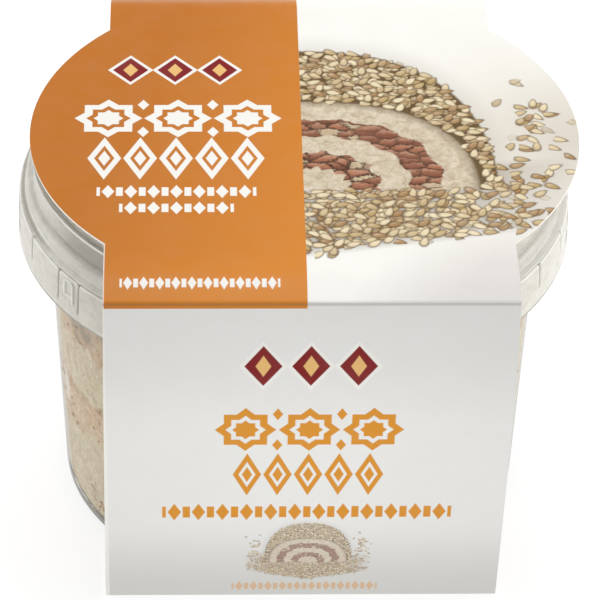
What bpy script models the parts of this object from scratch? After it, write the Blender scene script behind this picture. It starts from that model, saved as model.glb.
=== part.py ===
"""A clear round tub of layered halva cake, shut by its clear lid and held in a card sleeve.

All sizes below are in millimetres and become metres in the mesh. The tub stands on the
sleeve's bottom panel. The origin is the middle of the footprint, at floor level, and
the sleeve's front panel faces -Y.
"""
import math

import bmesh
import bpy
import numpy as np
from mathutils import Matrix

MM = 0.001
GAP = 0.3                       # clearance between pieces that touch
RING_STEPS = 72                 # sides of every round piece
TURN_MERGE = 0.00001

# Card sleeve: a closed band of board whose top panel widens into a disc
CARD_THICKNESS = 0.5
CARD_DISC_R = 54.2
BAND_HALF_WIDTH = 39.0
SLEEVE_HEIGHT = 80.2
SLEEVE_SHIFT = 1.9              # the sleeve sits this far to the right of the tub
SLEEVE_FOOT_Y = 46.9            # where the upright panels meet the bottom panel
SLEEVE_HIP_Y = 56.15            # where they pass the lid's skirt
SLEEVE_HIP_Z = 57.5
SLEEVE_HIP_BOW = 60.0
SLEEVE_CREASE_Y = 54.1
FRONT_CREASE_Z = 78.3
BACK_CREASE_Z = 77.4
CREASE_R = 0.7
TOP_BEND_Y = 48.0               # where the top panel starts to dip towards its creases
TOP_BEND_R = 14.0
DISC_ROWS = 22

# Clear lid
LID_WALL = 1.0
SKIRT_R = 55.0
SKIRT_BOTTOM_Z = 59.1
SKIRT_TOP_R = 54.4
SKIRT_TOP_Z = 68.6
SHOULDER_R = 53.7
RIDGE_R = 52.0
SHOULDER_TOP_Z = 72.0
RIDGE_Z = 76.7
RIDGE_WIDTH = 1.0               # flat top of the ridge
RIDGE_FLANK = 0.5
CHANNEL_DEPTH = 0.4             # between the ridge and the raised plate
PLATE_R = 48.4
PLATE_FLANK = 1.5
SHOULDER_DROP = 0.4
GROOVE_DEPTH = 0.4
GROOVE_WIDTH = 0.6
GROOVE_LENGTH = 6.1             # between two tamper panels
TAB_SLOT_LENGTH = 7.6           # on either side of the pull tab
TAB_AZIMUTHS = (212.4, 219.4)   # degrees round from +X, the front being 270
RIGHT_GROOVE_AZIMUTH = 329.3
FRONT_PANELS = 8                # from the tab round the front to the right groove
BACK_PANELS = 19                # from there round the back to the tab again

# Clear tub
TUB_WALL = 0.8
FOOT_R = 46.5
FOOT_WIDTH = 2.6
FOOT_TAPER = 0.5
WALL_SLOPE = 0.0426             # growth of the outer radius for each millimetre of height
FLOOR_UNDERSIDE_Z = 1.8
FLANGE_Z = 69.5                 # underside of the rim
RIM_R = 51.4
RIM_LIP_Z = 64.0

# Cake layers, from the tub's floor to the top of the halva
LOWER_FILLING_Z = (20.6, 31.2)
UPPER_FILLING_Z = (43.9, 53.0)
CAKE_TOP_Z = 64.5
SLOW_WAVES = ((3, 0.9), (5, 0.6), (7, 1.2))     # waves once round the cake, and their heights
SMALL_WAVE = (13, 0.25)
# For each filling's two edges: the azimuth where it climbs, its share of the slow waves and the
# small wave's phase
LOWER_EDGES = ((205.0, 1.0, 0.4), (205.0, 0.35, 1.7))
UPPER_EDGES = ((150.0, 0.6, 3.1), (150.0, 0.6, 4.6))

PLATE_Z = SLEEVE_HEIGHT - CARD_THICKNESS - GAP
TUB_BASE_Z = CARD_THICKNESS + GAP
TUB_X = -(SLEEVE_SHIFT + CARD_DISC_R - SKIRT_R) / 2
SLEEVE_X = TUB_X + SLEEVE_SHIFT


def clear_scene():
    for obj in list(bpy.data.objects):
        bpy.data.objects.remove(obj, do_unlink=True)


def new_collection(name):
    group = bpy.data.collections.new(name)
    bpy.context.scene.collection.children.link(group)
    return group


def principled(name, colour, roughness, transmission=0.0):
    material = bpy.data.materials.new(name)
    material.use_nodes = True
    shader = material.node_tree.nodes["Principled BSDF"]
    shader.inputs["Base Color"].default_value = (*colour, 1.0)
    shader.inputs["Roughness"].default_value = roughness
    shader.inputs["Transmission Weight"].default_value = transmission
    return material


def rounded(corners, steps):
    """Points of a path through corners (a, b, fillet radius), each inner corner made an arc."""
    points = []
    for index, (a, b, radius) in enumerate(corners):
        here = np.array((a, b))
        if radius == 0:
            points.append(here)
            continue
        before = np.array(corners[index - 1][:2]) - here
        after = np.array(corners[index + 1][:2]) - here
        before /= np.linalg.norm(before)
        after /= np.linalg.norm(after)
        half = math.acos(np.clip(before @ after, -1, 1)) / 2
        centre = here + (before + after) / np.linalg.norm(before + after) * radius / math.sin(half)
        start = here + before * radius / math.tan(half) - centre
        end = here + after * radius / math.tan(half) - centre
        sweep = math.atan2(start[0] * end[1] - start[1] * end[0], start @ end)
        for step in range(steps + 1):
            turn = sweep * step / steps
            cos, sin = math.cos(turn), math.sin(turn)
            points.append(centre + (start[0] * cos - start[1] * sin, start[0] * sin + start[1] * cos))
    return points


def link(name, mesh, material, group, x=0.0):
    obj = bpy.data.objects.new(name, mesh)
    obj.location.x = x * MM
    mesh.materials.append(material)
    group.objects.link(obj)
    return obj


def turned_shell(name, profile, wall, material, group):
    """Turn an outer line that runs down its outer side, and give it a wall on the inside."""
    mesh = bpy.data.meshes.new(name)
    verts = [(r * MM, 0.0, z * MM) for r, z in profile]
    mesh.from_pydata(verts, [(i, i + 1) for i in range(len(verts) - 1)], [])
    obj = link(name, mesh, material, group, TUB_X)
    turn = obj.modifiers.new("turn", "SCREW")
    turn.steps = RING_STEPS
    turn.render_steps = RING_STEPS
    turn.use_merge_vertices = True
    turn.merge_threshold = TURN_MERGE
    skin = obj.modifiers.new("wall", "SOLIDIFY")
    skin.thickness = wall * MM
    skin.offset = -1.0
    skin.use_even_offset = True
    return obj


def lid_profile():
    """From the axis over the raised plate, channel, ridge and shoulder, and down the skirt."""
    channel_z = RIDGE_Z - CHANNEL_DEPTH
    corners = [
        (0.0, PLATE_Z, 0.0),
        (PLATE_R, PLATE_Z, 1.2),
        (PLATE_R + PLATE_FLANK, channel_z, 0.0),
        (RIDGE_R - RIDGE_WIDTH - RIDGE_FLANK, channel_z, 0.0),
        (RIDGE_R - RIDGE_WIDTH, RIDGE_Z, 0.0),
        (RIDGE_R, RIDGE_Z, 0.0),
        (RIDGE_R, SHOULDER_TOP_Z, 0.0),
        (SHOULDER_R, SHOULDER_TOP_Z - SHOULDER_DROP, 1.3),
        (SHOULDER_R, SKIRT_TOP_Z, 0.0),
        (SKIRT_TOP_R, SKIRT_TOP_Z, 0.0),
        (SKIRT_R, SKIRT_BOTTOM_Z, 0.0),
    ]
    return rounded(corners, steps=2)


def tub_outer_radius(z):
    return FOOT_R + WALL_SLOPE * (z - TUB_BASE_Z)


def tub_profile():
    """From the rim's lip in to the wall, down it, round the foot and under to the axis."""
    corners = [
        (RIM_R, RIM_LIP_Z, 0.0),
        (RIM_R, FLANGE_Z, 0.0),
        (tub_outer_radius(FLANGE_Z), FLANGE_Z, 0.0),
        (FOOT_R, TUB_BASE_Z, 0.9),
        (FOOT_R - FOOT_WIDTH, TUB_BASE_Z, 0.0),
        (FOOT_R - FOOT_WIDTH - FOOT_TAPER, FLOOR_UNDERSIDE_Z, 0.0),
        (0.0, FLOOR_UNDERSIDE_Z, 0.0),
    ]
    return rounded(corners, steps=2)


def edge_wave(angle, edge):
    """Height of a filling's edge above its mean, in millimetres."""
    climb, share, phase = edge
    turned = angle - math.radians(climb)
    slow = sum(height * math.sin(turns * turned) for turns, height in SLOW_WAVES)
    turns, height = SMALL_WAVE
    return share * slow + height * math.sin(turns * angle - phase)


def cake_layer(name, bottom, top, edges, material, group):
    """A disc that fills the tub's wall, with the waves of its two edges on its rims."""
    mesh = bpy.data.meshes.new(name)
    shape = bmesh.new()
    bmesh.ops.create_cone(shape, cap_ends=True, cap_tris=True, segments=RING_STEPS,
                          radius1=1.0, radius2=1.0, depth=2.0)
    for vert in shape.verts:
        upper = vert.co.z > 0
        level = top if upper else bottom
        if math.hypot(vert.co.x, vert.co.y) > 0.5:
            angle = math.atan2(vert.co.y, vert.co.x)
            edge = edges[1] if upper else edges[0]
            level += 0.0 if edge is None else edge_wave(angle, edge)
            radius = (tub_outer_radius(level) - TUB_WALL - GAP) * MM
            vert.co.x *= radius
            vert.co.y *= radius
        vert.co.z = level * MM
    shape.to_mesh(mesh)
    shape.free()
    return link(name, mesh, material, group, TUB_X)


def groove_azimuths():
    """Azimuth and length of every upright groove, the tab's two slots last."""
    tab_start, tab_end = TAB_AZIMUTHS
    front = np.linspace(tab_end, RIGHT_GROOVE_AZIMUTH, FRONT_PANELS + 1)[1:]
    back = np.linspace(RIGHT_GROOVE_AZIMUTH, tab_start + 360, BACK_PANELS + 1)[1:-1]
    grooves = [(azimuth, GROOVE_LENGTH) for azimuth in [*front, *back]]
    return grooves + [(azimuth, TAB_SLOT_LENGTH) for azimuth in TAB_AZIMUTHS]


def groove_cutters(lid, group):
    """Upright slots between the skirt's tamper panels, joined in one cutter mesh."""
    shape = bmesh.new()
    box_depth = 2.0
    overshoot = 0.2
    for azimuth, length in groove_azimuths():
        made = bmesh.ops.create_cube(shape, size=1.0)["verts"]
        bmesh.ops.scale(shape, verts=made, vec=(box_depth, GROOVE_WIDTH, length))
        middle = (SKIRT_TOP_R - GROOVE_DEPTH + box_depth / 2, 0.0, SKIRT_TOP_Z + overshoot - length / 2)
        bmesh.ops.translate(shape, verts=made, vec=middle)
        turn = Matrix.Rotation(math.radians(azimuth), 4, "Z")
        bmesh.ops.transform(shape, verts=made, matrix=turn)
    bmesh.ops.scale(shape, verts=shape.verts, vec=(MM, MM, MM))
    mesh = bpy.data.meshes.new("groove_cutters")
    shape.to_mesh(mesh)
    shape.free()
    cutter = bpy.data.objects.new("groove_cutters", mesh)
    cutter.location.x = TUB_X * MM
    cutter.hide_render = True
    cutter.display_type = "WIRE"
    group.objects.link(cutter)
    cut = lid.modifiers.new("grooves", "BOOLEAN")
    cut.operation = "DIFFERENCE"
    cut.object = cutter
    cut.solver = "EXACT"


def upright(side, crease_z):
    """Corners of the front (side -1) or back (side 1) panel, from its foot to the top's middle."""
    return [
        (-side * SLEEVE_FOOT_Y, 0.0, 0.0),
        (side * SLEEVE_FOOT_Y, 0.0, CREASE_R),
        (side * SLEEVE_HIP_Y, SLEEVE_HIP_Z, SLEEVE_HIP_BOW),
        (side * SLEEVE_CREASE_Y, crease_z, CREASE_R),
        (side * TOP_BEND_Y, SLEEVE_HEIGHT, TOP_BEND_R),
        (0.0, SLEEVE_HEIGHT, 0.0),
    ]


def sleeve_path():
    """The band's outer line in (y, z), once round: up the front, over the disc, down the back."""
    front = rounded(upright(-1, FRONT_CREASE_Z), steps=4)[1:-1]
    back = rounded(upright(1, BACK_CREASE_Z), steps=4)[1:-1]
    neck = math.acos(BAND_HALF_WIDTH / CARD_DISC_R)
    swing = np.linspace(-neck, neck, DISC_ROWS)
    disc = [np.array((CARD_DISC_R * math.sin(turn), SLEEVE_HEIGHT)) for turn in swing]
    return front + disc + back[::-1]


def half_width(y, z):
    """Half the board's width: the disc's chord on the flat top panel, the band elsewhere."""
    if z < SLEEVE_HEIGHT or abs(y) >= CARD_DISC_R:
        return BAND_HALF_WIDTH
    return max(BAND_HALF_WIDTH, math.sqrt(CARD_DISC_R ** 2 - y ** 2))


def card_sleeve(material, group):
    """The band as a ring of straight rows across its path, given the board's thickness inwards."""
    path = sleeve_path()
    verts = []
    for y, z in path:
        half = half_width(y, z)
        verts += [(-half * MM, y * MM, z * MM), (half * MM, y * MM, z * MM)]
    count = len(path)
    faces = []
    for row in range(count):
        following = (row + 1) % count
        faces.append((2 * row, 2 * row + 1, 2 * following + 1, 2 * following))
    mesh = bpy.data.meshes.new("sleeve")
    mesh.from_pydata(verts, [], faces)
    obj = link("sleeve", mesh, material, group, SLEEVE_X)
    board = obj.modifiers.new("board", "SOLIDIFY")
    board.thickness = CARD_THICKNESS * MM
    board.offset = -1.0
    board.use_even_offset = True
    return obj


def build():
    clear_scene()
    parts = new_collection("halva_cake_tub")
    cutters = new_collection("cutters")

    clear_plastic = principled("clear_plastic", (0.80, 0.79, 0.74), 0.25, 0.8)
    frosted_plastic = principled("frosted_plastic", (0.72, 0.71, 0.66), 0.35, 0.5)
    board = principled("printed_board", (0.80, 0.70, 0.60), 0.45)
    halva = principled("halva", (0.62, 0.54, 0.43), 0.85)
    filling = principled("caramel_nut_filling", (0.50, 0.33, 0.19), 0.7)

    turned_shell("tub", tub_profile(), TUB_WALL, clear_plastic, parts)
    lid = turned_shell("lid", lid_profile(), LID_WALL, frosted_plastic, parts)
    groove_cutters(lid, cutters)
    card_sleeve(board, parts)

    floor = FLOOR_UNDERSIDE_Z + TUB_WALL + GAP
    levels = [floor, *LOWER_FILLING_Z, *UPPER_FILLING_Z, CAKE_TOP_Z]
    edges = [None, *LOWER_EDGES, *UPPER_EDGES, None]
    layers = ["halva_bottom", "filling_lower", "halva_middle", "filling_upper", "halva_top"]
    for index, name in enumerate(layers):
        lift = 0.0 if index == 0 else GAP
        material = filling if name.startswith("filling") else halva
        cake_layer(name, levels[index] + lift, levels[index + 1],
                   (edges[index], edges[index + 1]), material, parts)

    for obj in parts.objects:
        obj.data.shade_smooth()
        obj.data.set_sharp_from_angle(angle=math.radians(35))


build()
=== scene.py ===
import math
from functools import partialmethod

import bpy
import numpy as np
from mathutils import Matrix, Vector


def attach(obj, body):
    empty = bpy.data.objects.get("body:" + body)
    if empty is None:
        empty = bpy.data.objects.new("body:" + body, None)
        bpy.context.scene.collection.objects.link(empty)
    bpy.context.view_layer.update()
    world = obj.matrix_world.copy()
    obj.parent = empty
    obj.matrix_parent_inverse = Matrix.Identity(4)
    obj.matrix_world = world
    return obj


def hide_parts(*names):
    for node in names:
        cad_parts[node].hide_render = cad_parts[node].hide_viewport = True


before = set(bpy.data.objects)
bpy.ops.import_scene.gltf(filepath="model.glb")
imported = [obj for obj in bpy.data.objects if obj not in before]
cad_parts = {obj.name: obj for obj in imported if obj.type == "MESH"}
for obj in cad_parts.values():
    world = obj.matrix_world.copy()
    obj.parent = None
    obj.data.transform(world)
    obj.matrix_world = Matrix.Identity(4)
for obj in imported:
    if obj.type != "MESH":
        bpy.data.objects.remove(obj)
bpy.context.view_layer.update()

# Looks of a clear tub of layered halva cake in a printed card sleeve. Lengths in the tables
# and the shape functions are millimetres and become metres when a mesh is made. Heights are
# above the floor, and azimuths run counter-clockwise from +X, with the front at 270 degrees.
MM = 0.001
TUB_X = -0.55                   # axis of the tub, the lid and the cake
SLEEVE_X = 1.35                 # middle of the sleeve's width

# Lid: the panels round its skirt, and on the tear tab (between two azimuths) a raised grip, a
# rounded rectangle whose right side goes on down to the leg's foot
RIDGE_R, SHOULDER_R, SKIRT_TOP_R, SKIRT_R = 52.0, 53.3, 54.4, 55.0
PLATE_Z, RIDGE_Z, SKIRT_TOP_Z, SKIRT_BOTTOM_Z = 79.4, 76.7, 68.6, 59.1
TAB_START, TAB_END, RIGHT_GROOVE = 212.4, 219.4, 329.3
FRONT_PANELS, BACK_PANELS = 8, 19
PANEL_TOP_Z, PANEL_CORNER = 68.3, 0.8
GROOVE_FOOT_Z, TAB_SLOT_FOOT_Z = 62.7, 61.2
GRIP_X, GRIP_HALF_X, GRIP_HALF_Z, GRIP_CORNER = 0.5, 1.3, 1.75, 0.6
GRIP_Z, GRIP_LEG_Z = 65.7, 62.9
GROOVE_DEPTH, FACE_HEIGHT, GRIP_HEIGHT = 0.3, 0.12, 0.35

# Corners of the lid where the plastic is painted whiter, as painted light and highlights, or (negative)
# darker, as painted shade lines: share at the left end, share elsewhere, radius, height, width
LID_PAINTED_LINES = ((0.0, 1.8, 51.95, 76.6, 0.14), (-0.3, -1.0, 51.2, 76.65, 0.12), (1.5, 1.5, 50.3, 76.4, 0.7),
            (1.5, 1.5, 49.4, 77.6, 1.4), (0.0, -0.9, 52.02, 72.35, 0.2), (0.0, 0.9, 52.6, 71.85, 0.16),
            (1.5, 0.3, 53.3, 69.4, 0.2), (-0.8, 0.5, 53.85, 68.9, 0.4), (0.0, 0.6, 54.35, 68.6, 0.16),
            (0.4, 0.4, 54.95, 59.9, 0.25))
# Painted shade: on the collar under the card, on the front left, round the skirt's foot and on the right
# shoulder
COLLAR_SHADE, LEFT_SHADE, FOOT_SHADE, RIGHT_SHADE = 0.75, 0.16, 1.2, 0.14

FOOT_R, TUB_BASE_Z, WALL_SLOPE, TUB_WALL = 46.5, 0.8, 0.0426, 0.8
FLANGE_Z, RIM_R, RIM_LIP_Z, FLOOR_Z, FOOT_BAND_Z = 69.5, 51.4, 64.0, 1.8, 5.0

# Cake: heights of the layers' edges, then for each the azimuth where it climbs, its share of
# the slow waves (times round, height) and the small wave's phase
LAYER_LEVELS = (2.65, 20.6, 31.2, 43.9, 53.0, 64.5)
LAYER_EDGES = (None, (205.0, 1.0, 0.4), (205.0, 0.35, 1.7), (150.0, 0.6, 3.1), (150.0, 0.6, 4.6), None)
SLOW_WAVES = ((3, 0.9), (5, 0.6), (7, 1.2))
SMALL_WAVES = ((13, 0.25), (31, 0.16), (57, 0.12))

BOARD = 0.45
DISC_R, BAND_HALF, TOP_Z = 54.2, 39.0, 80.2
FOOT_Y, HIP_Y, HIP_Z, CREASE_Y = 46.9, 56.15, 57.5, 54.1
FRONT_CREASE_Z, BACK_CREASE_Z, BEND_Y = 78.3, 77.4, 48.0
SLEEVE_LEAN = 0.62              # the foot stands this much to the left of the top


# ---- meshes from arrays

def rounded(corners, steps):
    """Points of a path through corners (a, b, fillet radius).

    An arc touches both legs of its corner: its centre lies on their bisector at
    radius / sin(half angle), and the legs are left at radius / tan(half angle).
    """
    points = []
    for index, (a, b, radius) in enumerate(corners):
        here = np.array((a, b), float)
        if radius == 0:
            points.append(here)
            continue
        before = np.array(corners[index - 1][:2]) - here
        after = np.array(corners[index + 1][:2]) - here
        before /= np.linalg.norm(before)
        after /= np.linalg.norm(after)
        half = math.acos(np.clip(before @ after, -1, 1)) / 2
        middle = before + after
        centre = here + middle / np.linalg.norm(middle) * radius / math.sin(half)
        start = here + before * radius / math.tan(half) - centre
        end = here + after * radius / math.tan(half) - centre
        sweep = math.atan2(start[0] * end[1] - start[1] * end[0], start @ end)
        turn = sweep * np.linspace(0, 1, steps + 1)[:, None]
        side = np.array((-start[1], start[0]))
        points.extend(centre + start * np.cos(turn) + side * np.sin(turn))
    return np.array(points)


def divided(path, longest):
    """The path with every straight piece longer than the given length cut into equal parts."""
    out = [path[:1]]
    for start, end in zip(path[:-1], path[1:]):
        parts = max(1, math.ceil(np.linalg.norm(end - start) / longest - 1e-6))
        share = np.linspace(0, 1, parts + 1)[1:, None]
        out.append(start + (end - start) * share)
    return np.concatenate(out)


def quads(numbers):
    """Squares between the neighbours in a table of point numbers, each first down its column."""
    corners = (numbers[:-1, :-1], numbers[1:, :-1], numbers[1:, 1:], numbers[:-1, 1:])
    return np.stack([corner.ravel() for corner in corners], 1)


def fan(pole, ring):
    """Triangles from a pole's number to the numbers of a ring round it."""
    return np.stack([np.full(ring.size, pole), ring, np.roll(ring, -1)], 1)


def add_object(name, data):
    """A new object in the scene."""
    made = bpy.data.objects.new(name, data)
    bpy.context.scene.collection.objects.link(made)
    return made


def make_mesh(name, points, faces, materials, sharp, attributes, slots=None):
    """A piece from points in millimetres and lists of faces, smooth up to an edge's sharp angle.

    An attribute holds one number for every point, or three. Slots give each face's material.
    """
    mesh = bpy.data.meshes.new(name)
    mesh.from_pydata((points * MM).tolist(), [], [face for part in faces for face in part.tolist()])
    for material in materials:
        mesh.materials.append(material)
    if slots is not None:
        mesh.polygons.foreach_set("material_index", np.asarray(slots, np.int32))
    for label, values in attributes.items():
        kind, field = ("FLOAT_VECTOR", "vector") if values.ndim == 2 else ("FLOAT", "value")
        layer = mesh.attributes.new(label, kind, "POINT")
        layer.data.foreach_set(field, np.asarray(values, np.float32).ravel())
    mesh.shade_smooth()
    mesh.set_sharp_from_angle(angle=math.radians(sharp))
    mesh.update()
    return add_object(name, mesh)


def turned(name, radius, height, azimuths, material, sharp, marks):
    """A closed body turned about the tub's axis, from arrays (row, azimuth) of radius and height.

    x is the tub's axis plus r cos(azimuth) and y is r sin(azimuth). The first and the last
    row are single points on the axis, and the faces look to the right of the way the rows run.
    Marks are arrays of the same form, for the material.
    """
    rows, columns = len(radius) - 2, len(azimuths)
    x, y = TUB_X + radius * np.cos(azimuths), radius * np.sin(azimuths)

    def listed(values):
        inner = values[1:-1].reshape(rows * columns, *values.shape[2:])
        return np.concatenate([inner, [values[0].mean(0), values[-1].mean(0)]])

    numbers = np.arange(rows * columns).reshape(rows, columns)
    top, bottom = rows * columns, rows * columns + 1
    faces = [quads(np.concatenate([numbers, numbers[:, :1]], 1)),
             fan(top, numbers[0]), fan(bottom, numbers[-1, ::-1])]
    return make_mesh(name, listed(np.stack([x, y, height], -1)), faces, [material], sharp,
                     {label: listed(values) for label, values in marks.items()})


def around(profile, azimuths):
    """Arrays (row, azimuth) of radius and height for a profile of such pairs."""
    return [np.repeat(profile[:, axis:axis + 1], azimuths.size, 1) for axis in (0, 1)]


def smooth_step(value, low, high):
    """0 at low, 1 at high and the cubic 3t^2 - 2t^3 between; low may be the larger."""
    share = np.clip((value - low) / (high - low), 0, 1)
    return share * share * (3 - 2 * share)


# ---- formulas in a material

class Field:
    """A number at every point of a surface, written as a formula that becomes shader nodes."""

    def __init__(self, tree, socket):
        self.tree = tree
        self.socket = socket

    def maths(self, operation, *others, clamp=False):
        node = self.tree.nodes.new("ShaderNodeMath")
        node.operation = operation
        node.use_clamp = clamp
        for slot, value in zip(node.inputs, (self, *others)):
            if isinstance(value, Field):
                self.tree.links.new(value.socket, slot)
            else:
                slot.default_value = value
        return Field(self.tree, node.outputs[0])

    __add__ = __radd__ = partialmethod(maths, "ADD")
    __sub__ = partialmethod(maths, "SUBTRACT")
    __mul__ = __rmul__ = partialmethod(maths, "MULTIPLY")
    __truediv__ = partialmethod(maths, "DIVIDE")
    abs = partialmethod(maths, "ABSOLUTE")
    sin = partialmethod(maths, "SINE")
    cos = partialmethod(maths, "COSINE")
    least = partialmethod(maths, "MINIMUM")
    most = partialmethod(maths, "MAXIMUM")
    power = partialmethod(maths, "POWER")
    fraction = partialmethod(maths, "FRACT")
    turn = partialmethod(maths, "ARCTAN2")      # angle whose tangent is this over the other

    def __rsub__(self, other):
        return self * -1.0 + other

    def over(self, low, high):
        """0 at low and below, 1 at high and above, straight between; low may be the larger."""
        scale = 1.0 / (high - low)
        return self.maths("MULTIPLY_ADD", scale, -low * scale, clamp=True)

    def under(self, limit, edge):
        """1 below the limit and 0 above it, with an edge that reaches that far to either side."""
        return self.over(limit + edge, limit - edge)

    def soft(self, low, high):
        """As over, but smooth at both ends."""
        node = self.tree.nodes.new("ShaderNodeMapRange")
        node.interpolation_type = "SMOOTHSTEP"
        self.tree.links.new(self.socket, node.inputs["Value"])
        for side, (value, result) in zip(("Min", "Max"), sorted(((low, 0.0), (high, 1.0)))):
            node.inputs["From " + side].default_value = value
            node.inputs["To " + side].default_value = result
        return Field(self.tree, node.outputs["Result"])

    def wave(self, pitch, start):
        """Distance from the nearest of the marks that stand pitch apart from start."""
        return (((self - start) * (1 / pitch) + 0.5).fraction() - 0.5) * pitch


class Steps:
    """Adds the nodes of formulas to a tree, a material's own or a group's."""

    def __init__(self, tree):
        self.tree = tree

    def node(self, kind, inputs=None, **settings):
        """A new node with its settings, and with values put on inputs by name or number."""
        made = self.tree.nodes.new(kind)
        for key, value in settings.items():
            setattr(made, key, value)
        for key, value in (inputs or {}).items():
            self.put(value, made.inputs[key])
        return made

    def link(self, source, target):
        self.tree.links.new(source.socket if isinstance(source, Field) else source, target)

    def field(self, socket):
        return Field(self.tree, socket)

    def put(self, value, slot):
        """Links a field or a socket to the slot, or sets it to a number or a colour."""
        if isinstance(value, (int, float)):
            slot.default_value = value
        elif isinstance(value, tuple):
            slot.default_value = (*linear(value), 1.0)
        else:
            self.link(value, slot)

    def object_place(self):
        return self.node("ShaderNodeTexCoord").outputs["Object"]

    def scaled(self, place, scale):
        """The place times one scale for each axis."""
        node = self.node("ShaderNodeVectorMath", {0: place}, operation="MULTIPLY")
        node.inputs[1].default_value = scale
        return node.outputs[0]

    def parts(self, vector):
        return [self.field(s) for s in self.node("ShaderNodeSeparateXYZ", {0: vector}).outputs]

    def vector(self, x, y):
        return self.node("ShaderNodeCombineXYZ", {0: x, 1: y}).outputs[0]

    def attribute(self, label):
        return self.node("ShaderNodeAttribute", attribute_name=label)

    def number(self, label):
        """The piece's own number of that name."""
        return self.field(self.attribute(label).outputs["Fac"])

    def noise(self, place, scale, detail=2.0, roughness=0.5, distortion=0.0):
        inputs = {"Vector": place, "Scale": scale, "Detail": detail, "Roughness": roughness,
                  "Distortion": distortion}
        return self.field(self.node("ShaderNodeTexNoise", inputs).outputs["Fac"])

    def cells(self, place, feature="F1", randomness=1.0):
        """Outputs of a flat Voronoi pattern with one cell to each unit square."""
        inputs = {"Vector": place, "Scale": 1.0, "Randomness": randomness}
        return self.node("ShaderNodeTexVoronoi", inputs, voronoi_dimensions="2D",
                         feature=feature).outputs

    def blob(self, place, centre, half):
        """1 at a centre, falling evenly with the squared distance to 0 on an ellipsoid (millimetres)."""
        away = [(axis * 1000.0 - middle) / size
                for axis, middle, size in zip(self.parts(place), centre, half)]
        return (1.0 - (away[0] * away[0] + away[1] * away[1] + away[2] * away[2])).most(0.0)

    def mix(self, share, first, second):
        """Colour that goes from first to second with the share; each a colour or a socket."""
        node = self.node("ShaderNodeMix", {"Factor": share}, data_type="RGBA")
        for value, slot in zip((first, second), [s for s in node.inputs if s.type == "RGBA"]):
            self.put(value, slot)
        return [s for s in node.outputs if s.type == "RGBA"][0]

    def coats(self, base, *coats):
        """The base with coats laid over it in turn, each a share and a colour or a socket."""
        for share, tint in coats:
            base = self.mix(share, base, tint)
        return base

    def use(self, group, *values):
        """The result of a recipe for these values."""
        return self.node("ShaderNodeGroup", dict(enumerate(values)), node_tree=group).outputs[0]


class Paint(Steps):
    """Builds one material on its own shader."""

    def __init__(self, name):
        self.material = bpy.data.materials.new(name)
        self.material.use_nodes = True
        super().__init__(self.material.node_tree)
        self.shader = self.tree.nodes["Principled BSDF"]

    def set(self, **values):
        for key, value in values.items():
            self.put(value, self.shader.inputs[key.replace("_", " ")])

    def edge_on(self, start, end):
        """From 0 to 1 as a thin wall is seen more and more edge-on."""
        facing = self.node("ShaderNodeLayerWeight", {"Blend": 0.5}).outputs["Facing"]
        return self.field(facing).over(start, end)

    def bump(self, height, distance, strength=1.0):
        node = self.node("ShaderNodeBump", {"Height": height, "Distance": distance * MM,
                                            "Strength": strength})
        self.link(node.outputs["Normal"], self.shader.inputs["Normal"])


def recipe(name, inputs, result, formula):
    """A node group that holds a formula; inputs and result are of kind number, place or tint."""
    kinds = {"number": "NodeSocketFloat", "place": "NodeSocketVector", "tint": "NodeSocketColor"}
    tree = bpy.data.node_groups.new(name, "ShaderNodeTree")
    for order, kind in enumerate(inputs):
        tree.interface.new_socket(f"in{order}", in_out="INPUT", socket_type=kinds[kind])
    tree.interface.new_socket("out", in_out="OUTPUT", socket_type=kinds[result])
    steps = Steps(tree)
    entry = steps.node("NodeGroupInput")
    given = [steps.field(socket) if kind == "number" else socket
             for kind, socket in zip(inputs, entry.outputs)]
    steps.link(formula(steps, *given), steps.node("NodeGroupOutput").inputs[0])
    return tree


def linear(tint):
    """A colour as linear shares, which it is already unless given in whole numbers, as a screen
    shows it from 0 to 255."""
    if isinstance(tint[0], float):
        return tint
    share = np.array(tint) / 255
    return tuple(np.where(share <= 0.04045, share / 12.92, ((share + 0.055) / 1.055) ** 2.4).tolist())


# ---- lid

def panel_edges():
    """Azimuths of the upright grooves between the skirt's panels, in degrees."""
    front = np.linspace(TAB_END, RIGHT_GROOVE, FRONT_PANELS + 1)
    back = np.linspace(RIGHT_GROOVE, TAB_START + 360, BACK_PANELS + 1)[1:]
    return np.concatenate([front, back])


def past_sides(out_x, out_z, corner):
    """Distance from a rectangle with rounded corners (negative: inside it), from the distances
    past its sides."""
    out_x, out_z = out_x + corner, out_z + corner
    outside = np.hypot(np.maximum(out_x, 0), np.maximum(out_z, 0))
    return outside + np.minimum(np.maximum(out_x, out_z), 0) - corner


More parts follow.
